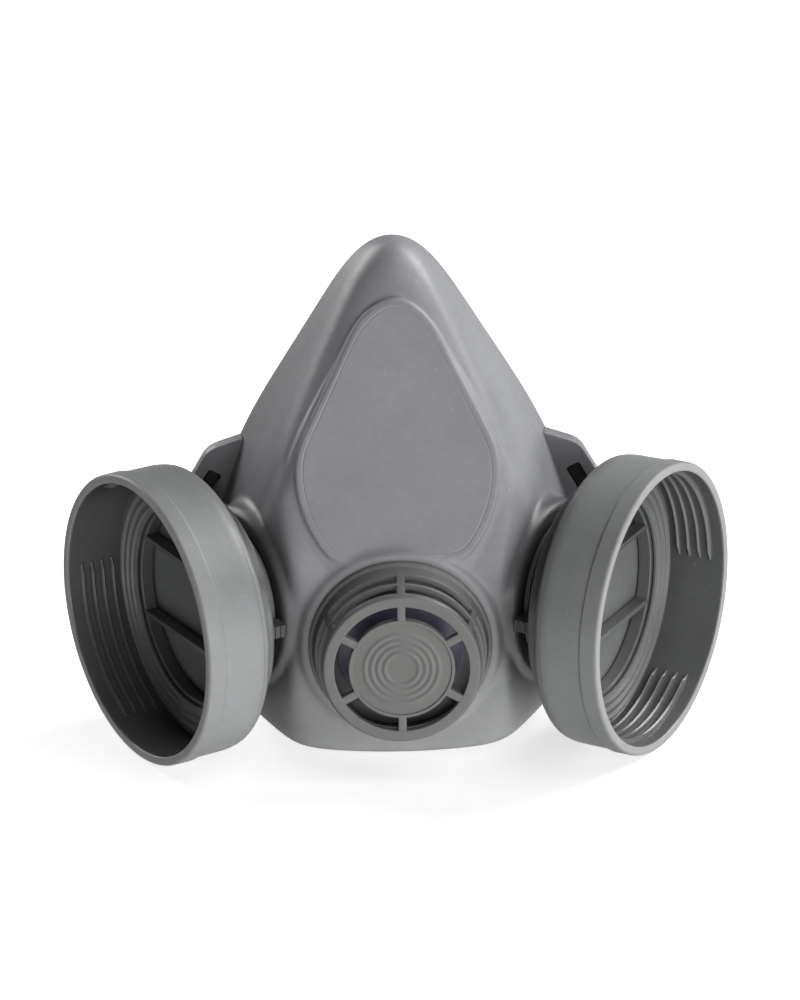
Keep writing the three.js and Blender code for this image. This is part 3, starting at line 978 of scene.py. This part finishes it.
def mark_cup(piece, place):
    """Stores which points are inside the cup, behind it or on its rim, for the material, which paints
    shade inside and behind the cup.
    """
    local = (piece_points(piece) - place[:3, 3]) @ place[:3, :3]
    radius = np.hypot(local[:, 0], local[:, 2])
    behind = (radius < CHAMBER_RADIUS + 3) & (local[:, 1] < CUP_BACK + 0.5)
    within = (radius < CUP_WALL_RADIUS + 0.2) & (local[:, 1] > CUP_BACK - 0.1)
    store(piece, "cup_inside", within | behind)
    store(piece, "cup_rim", local[:, 1] > -RIM_DEPTH)


def gasket():
    """A flat ring with three narrow ridges, which the filter presses on."""
    inner, outer = 25.2, 32.6
    low, face, top = -15.0, -14.2, -13.5
    outline = [(inner, low), (outer, low), (outer, face)]
    for r in (31.2, 28.9, 26.6):
        outline += [(r + 0.5, face), (r + 0.15, top), (r - 0.15, top), (r - 0.5, face)]
    outline.append((inner, face))
    return ring(outline, radius=0.2, steps=FINE_STEPS)


def port():
    """The neck through the rubber, its flange, the flap's pin and spokes, and the key tab.

    It gives the skins, and the notches that are cut in the tab.
    """
    barrel = ring([
        (NECK_BORE, -21.3), (25.7, -21.3), (25.7, -22.8), (NECK_RADIUS, -22.8),
        (NECK_RADIUS, -25.5), (18.3, -25.5), (18.3, -27.2), (NECK_RADIUS, -27.2),
        (NECK_RADIUS, -36), (NECK_BORE, -36),
    ])
    pin = disc([(0, -22.8), (3.2, -22.8), (3.2, -21.3), (1.8, -21.3), (1.8, -19), (0, -19)])
    spokes = around(block(12, 1.5, 1.6, 7.5, -22.05, 0), 3, 90)
    key = block(5, 6.1, 3, 22, -25.5, 0, bevel=0.3)
    notches = [block(1, 0.8, 6, 24.6, y, 0, bevel=0.15) for y in (-27.6, -26.2, -24.8)]
    return [barrel, pin, *spokes, key], notches


def slide():
    """A strap slide: a tongue that fills the slot, and a plate behind the lug."""
    tongue = block(3.0, 5, 15.4, 0, 0.6, 0, bevel=0.35)
    plate = block(5.6, 1.2, 17, 0, 2.9, 0, bevel=0.3)
    return [tongue, plate]


def build_side(name, side):
    place = cup_frame(side)

    def part(label, skins, slot, node, holes=(), body="mask"):
        return add(f"{name}_{label}", skins, place, body, slot, [f"{name}_{node}"], holes)

    mark_cup(part("cup_shell", cup(), "cup_plastic", "filter_cup"), place)
    part("ribbed_gasket", [gasket()], "grey_silicone", "filter_gasket")
    flap = washer(2.1, 25.2, -19.7, -18.9, steps=FLAP_STEPS)
    part("flap_disc", [flap], "flap_silicone", "inhalation_flap", body=f"{name}_flap")
    skins, notches = port()
    part("port_body", skins, "valve_plastic", "inhalation_port", notches)
    part("port_washer", [washer(15.3, 18.3, -28.7, -27.5)], "grey_silicone", "port_seal")
    part("port_nut", [washer(15.3, 18.3, -35.4, -32.6, radius=0.3)], "valve_plastic", "port_ring")
    node = f"{name}_strap_slide"
    add(f"{name}_slide", slide(), slot_frame(side), "mask", "black_plastic", [node])


# ---------------------------------------------------------------- studio

# the camera's place is in millimetres, and the floor and the softboxes are in metres
CAMERA_DISTANCE = 6000.0
CAMERA_ELEVATION = math.radians(24)
CAMERA_AZIMUTH = math.radians(-1.3)
CAMERA_ROLL = math.radians(-0.7)
CAMERA_TARGET = (0.7, 0.0, 62.8)
LENS = 890
SENSOR_HEIGHT = 36
FLOOR_SIZE = 80.0
FLOOR_GAP = 0.0002  # between the floor and the mask
FLOOR_COLOR = (0.93, 0.925, 0.92)
FLOOR_GLOW = 0.62
TABLE_GLOW = 2.3  # the light that a pale table throws up from the right
TABLE_LEFT = 0.32  # and how much of it there is on the left
TABLE_BACK = 0.3  # and at the back
SOFTBOX_SIZE = 0.9
SOFTBOX_DISTANCE = 1.5
SOFTBOX_TARGET = (0, 0, 0.05)
# name, degrees to the right of the front, degrees up, watts
SOFTBOXES = (
    ("front_box", 12, 6, 6),
    ("low_right_box", 40, 10, 7),
    ("high_right_box", 50, 55, 6),
    ("right_back_box", 118, 38, 22),
    ("left_back_box", -140, 22, 13),
)


def add_camera():
    data = bpy.data.cameras.new("camera")
    data.lens = LENS
    data.sensor_fit = "VERTICAL"
    data.sensor_height = SENSOR_HEIGHT
    data.clip_end = 100
    camera = bpy.data.objects.new("camera", data)
    flat = math.cos(CAMERA_ELEVATION)
    away = Vector((
        math.sin(CAMERA_AZIMUTH) * flat,
        -math.cos(CAMERA_AZIMUTH) * flat,
        math.sin(CAMERA_ELEVATION),
    ))
    target = Vector(CAMERA_TARGET) * MM
    camera.location = target + away * CAMERA_DISTANCE * MM
    aim = (-away).to_track_quat("-Z", "Y") @ Euler((0, 0, CAMERA_ROLL)).to_quaternion()
    camera.rotation_euler = aim.to_euler()
    bpy.context.scene.collection.objects.link(camera)
    bpy.context.scene.camera = camera


def add_floor():
    half = FLOOR_SIZE / 2
    mesh = bpy.data.meshes.new("floor")
    corners = [(-half, -half, 0), (half, -half, 0), (half, half, 0), (-half, half, 0)]
    mesh.from_pydata(corners, [], [(0, 1, 2, 3)])
    floor = bpy.data.objects.new("floor", mesh)
    floor.location.z = -FLOOR_GAP
    bpy.context.scene.collection.objects.link(floor)
    material, _, main = shader("floor", FLOOR_COLOR, roughness=0.9, specular=0.1)
    main.inputs["Emission Color"].default_value = (1, 1, 1, 1)
    main.inputs["Emission Strength"].default_value = FLOOR_GLOW
    mesh.materials.append(material)
    floor.visible_diffuse = False  # the world's lower half stands in for its light
    floor.visible_glossy = False


def add_softbox(name, azimuth, elevation, power):
    """A square soft light that faces the mask. Azimuth is in degrees to the right of the front."""
    data = bpy.data.lights.new(name, "AREA")
    data.size = SOFTBOX_SIZE
    data.energy = power
    light = bpy.data.objects.new(name, data)
    turn, rise = math.radians(azimuth), math.radians(elevation)
    away = Vector((math.sin(turn) * math.cos(rise), -math.cos(turn) * math.cos(rise), math.sin(rise)))
    light.location = away * SOFTBOX_DISTANCE + Vector(SOFTBOX_TARGET)
    light.rotation_euler = away.to_track_quat("Z", "Y").to_euler()
    bpy.context.scene.collection.objects.link(light)


def add_world():
    """Dark overhead, and glowing below as a pale table does, mostly on the right and in front."""
    world = bpy.data.worlds.new("studio")
    world.use_nodes = True
    tree = world.node_tree
    place = tree.nodes.new("ShaderNodeTexCoord")
    middle = tree.nodes.new("ShaderNodeMapping")
    middle.inputs["Location"].default_value = (0.5, 0.5, 0.5)
    middle.inputs["Scale"].default_value = (0.5, 0.5, 0.5)
    tree.links.new(place.outputs["Generated"], middle.inputs["Vector"])
    split = tree.nodes.new("ShaderNodeSeparateXYZ")
    tree.links.new(middle.outputs["Vector"], split.inputs["Vector"])
    across = ramp(tree, split.outputs["X"], [(0.3, TABLE_LEFT), (0.7, 1.0)])
    back = ramp(tree, split.outputs["Y"], [(0.25, 1.0), (0.6, TABLE_BACK)])
    below = ramp(tree, split.outputs["Z"], [(0.45, 1.0), (0.55, 0.0)])
    table = multiplied(tree, across, back)
    glow = multiplied(tree, table, below)
    background = tree.nodes["Background"]
    background.inputs["Strength"].default_value = TABLE_GLOW
    tree.links.new(glow, background.inputs["Color"])
    bpy.context.scene.world = world


def build_studio():
    add_camera()
    add_floor()
    add_world()
    for name, azimuth, elevation, power in SOFTBOXES:
        add_softbox(name, azimuth, elevation, power)
    bpy.context.scene.view_settings.view_transform = "Standard"


# ---------------------------------------------------------------- build

build_studio()
build_facepiece()
build_exhalation_valve()
for name, side in SIDES.items():
    build_side(name, side)
